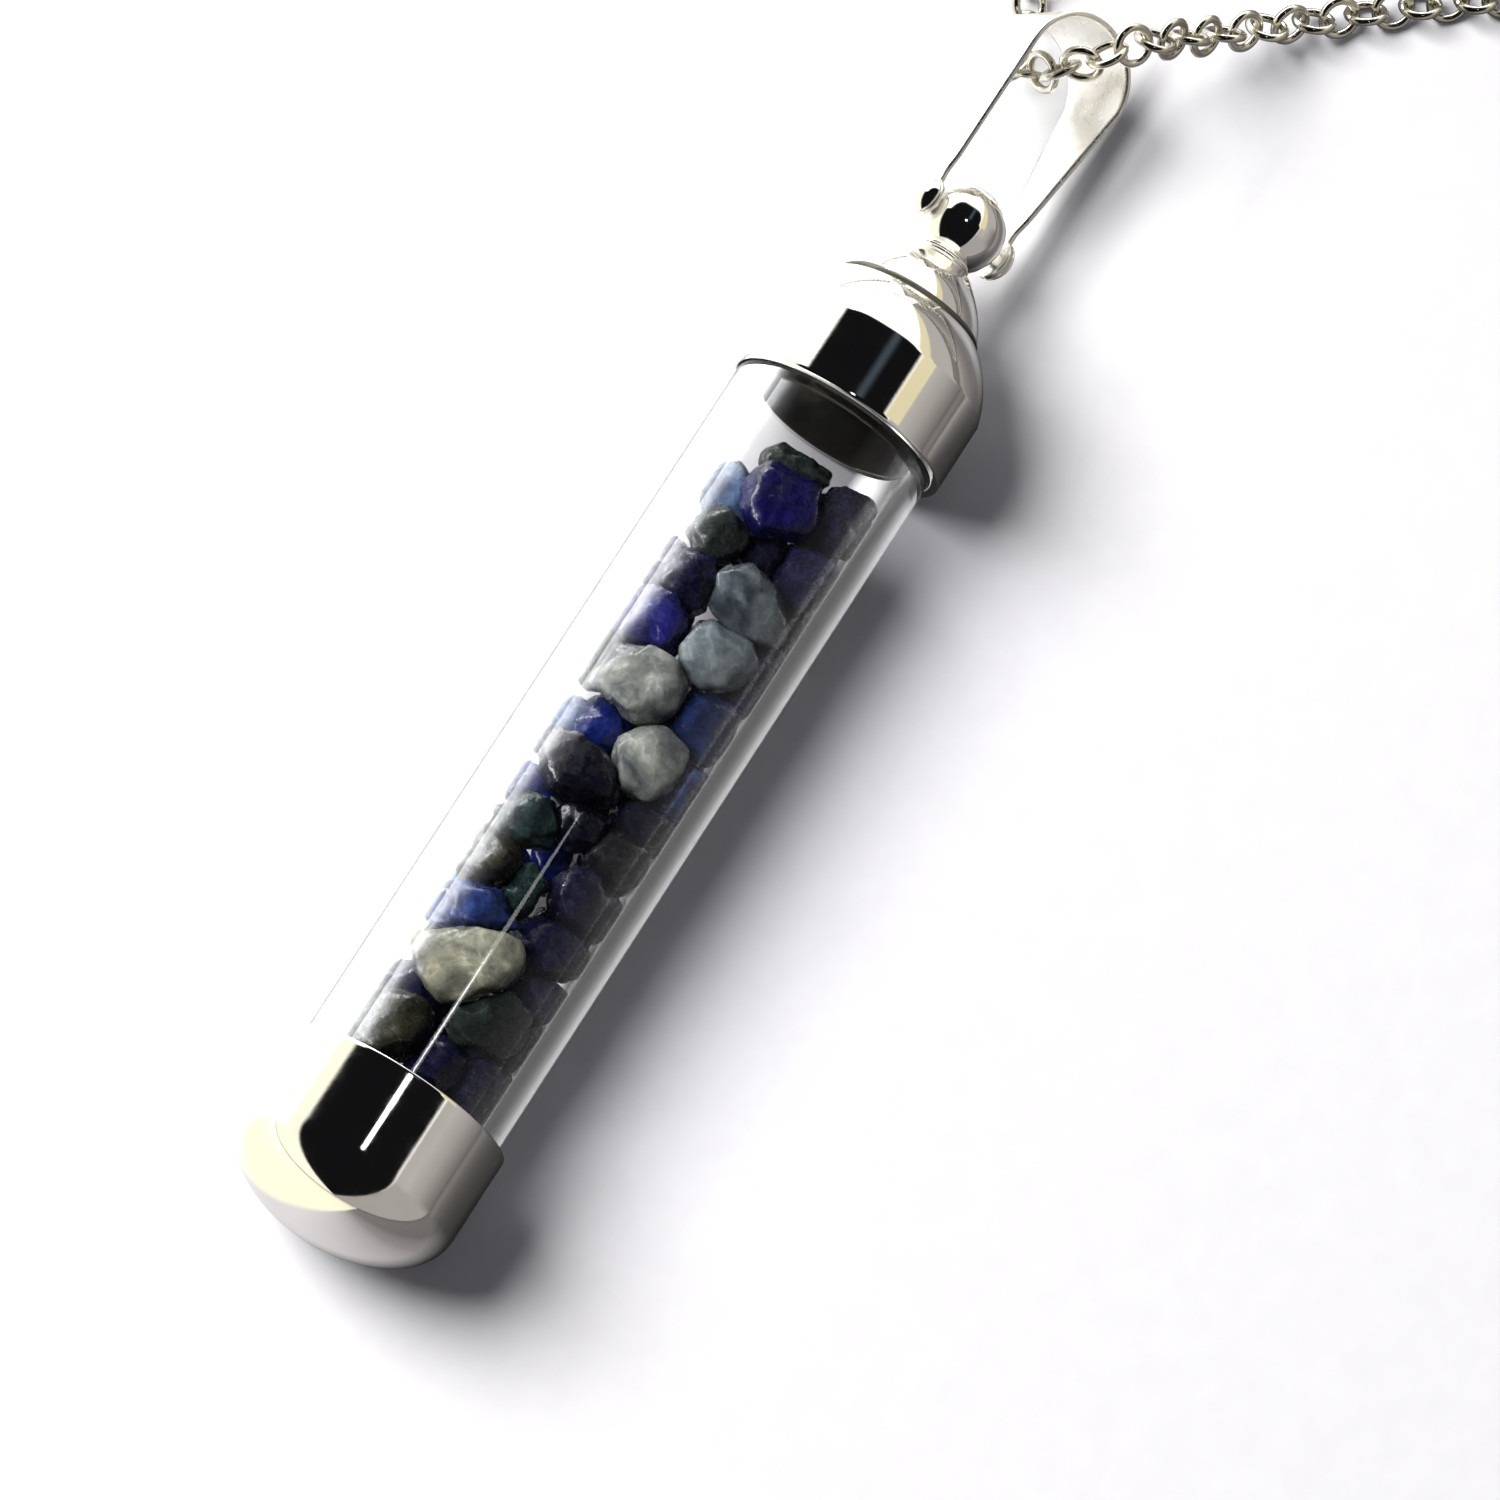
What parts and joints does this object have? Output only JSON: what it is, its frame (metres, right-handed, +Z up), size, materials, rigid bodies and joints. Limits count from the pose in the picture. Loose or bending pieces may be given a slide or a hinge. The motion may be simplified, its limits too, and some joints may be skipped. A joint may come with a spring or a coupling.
{
  "type": "tube pendant",
  "caption": "Clear glass tube of loose gem chips between polished domed caps, hung by a ball and a folded leaf-shaped bail on a fine rolo chain.",
  "frame": {"origin": "middle of the box's underside, on the surface that the pendant and its chain lie on", "axes": "+X along the vial from its bottom cap to the bail and on to the clasp, +Y to the left, +Z up"},
  "size_m": [0.2082, 0.117, 0.011],
  "materials": {
    "clear_glass": "clear and smooth",
    "polished_silver": "mirror polished",
    "gem_chips": "tumbled, glossy to waxy, stone by stone",
    "chain_silver": "polished wire"
  },
  "bodies": {
    "necklace": {"chain_right": "chain_silver", "chain_left": "chain_silver", "clasp": "chain_silver", "bail": "polished_silver", "bail_pin": "polished_silver"},
    "vial": {"glass_tube": "clear_glass", "bottom_cap": "polished_silver", "top_cap": "polished_silver", "crown_dome": "polished_silver", "hanger_ball": "polished_silver", "stones": "gem_chips"}
  },
  "joints": [
    {"name": "vial_swing", "type": "hinge", "parent": "necklace", "child": "vial", "pos_m": [-0.04895, 0.00045, 0.0055], "axis": [0, 0.866, 0.5], "range_deg": [0, 110]}
  ]
}
